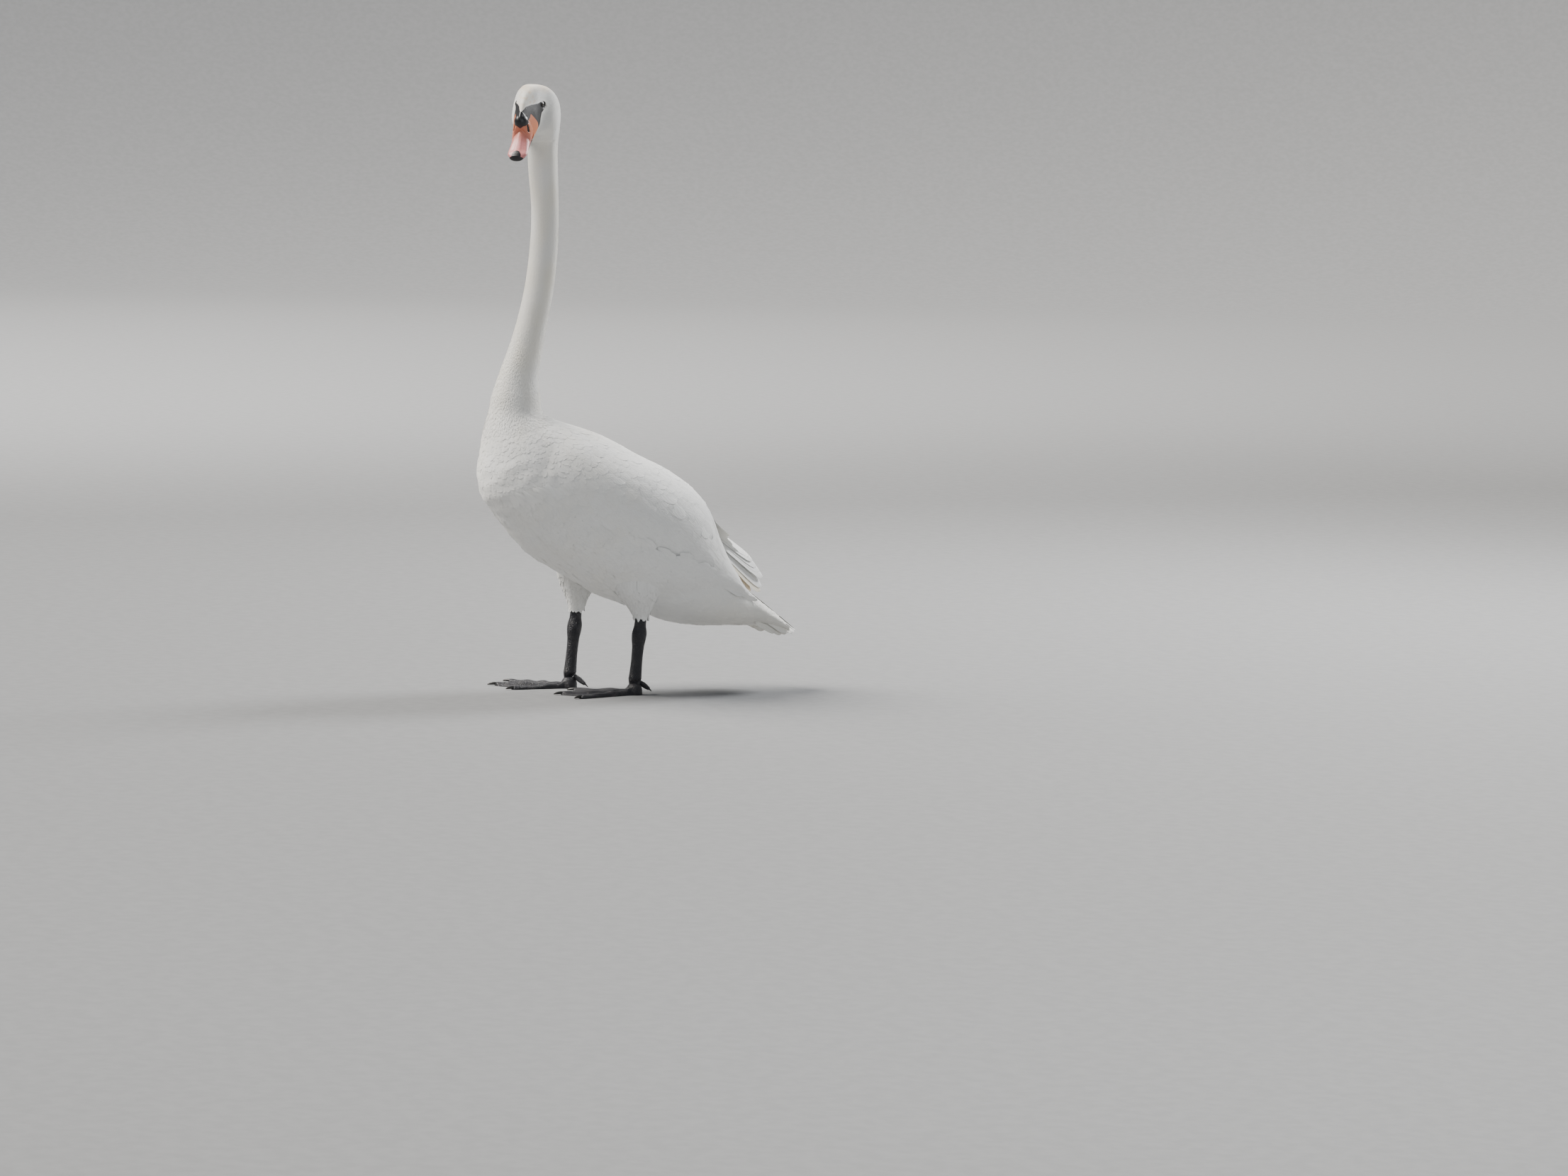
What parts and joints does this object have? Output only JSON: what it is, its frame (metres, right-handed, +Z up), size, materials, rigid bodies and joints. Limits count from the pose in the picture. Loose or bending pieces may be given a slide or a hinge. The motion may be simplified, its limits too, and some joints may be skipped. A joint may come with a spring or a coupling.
{
  "type": "mute swan model",
  "caption": "Life-size white waterfowl model standing on webbed feet, with its long neck upright, head turned to its left and wings folded.",
  "frame": {"origin": "on the floor, midway under the box that holds the swan", "axes": "+Z up, +X to the swan's own left, -Y the way it heads"},
  "size_m": [0.3, 0.5952, 1.0706],
  "materials": {
    "plumage_body": "soft white feathers",
    "plumage_neck": "short velvety cream-white feathers",
    "plumage_head": "very short dense white feathers, faintly buff on the crown",
    "plumage_wing": "smooth white covert and flight feathers",
    "plumage_tail": "stiff white tail feathers",
    "bill": "smooth orange horn with a black base, edge and nail",
    "eye": "wet, very dark brown",
    "leg_skin": "scaly black skin with a low gloss",
    "claw": "polished black horn"
  },
  "bodies": {
    "root": {"bill_lower": "bill", "bill_upper": "bill", "claw_left_hallux": "claw", "claw_left_inner": "claw", "claw_left_middle": "claw", "claw_left_outer": "claw", "claw_right_hallux": "claw", "claw_right_inner": "claw", "claw_right_middle": "claw", "claw_right_outer": "claw", "eye_left": "eye", "eye_right": "eye", "foot_left": "leg_skin", "foot_right": "leg_skin", "hallux_left": "leg_skin", "hallux_right": "leg_skin", "head": "plumage_head", "neck_lower": "plumage_neck", "neck_middle": "plumage_neck", "neck_upper": "plumage_neck", "shank_left": "leg_skin", "shank_right": "leg_skin", "tail": "plumage_tail", "thigh_left": "plumage_body", "thigh_right": "plumage_body", "trunk": "plumage_body", "wing_left": "plumage_wing", "wing_right": "plumage_wing"}
  },
  "joints": []
}
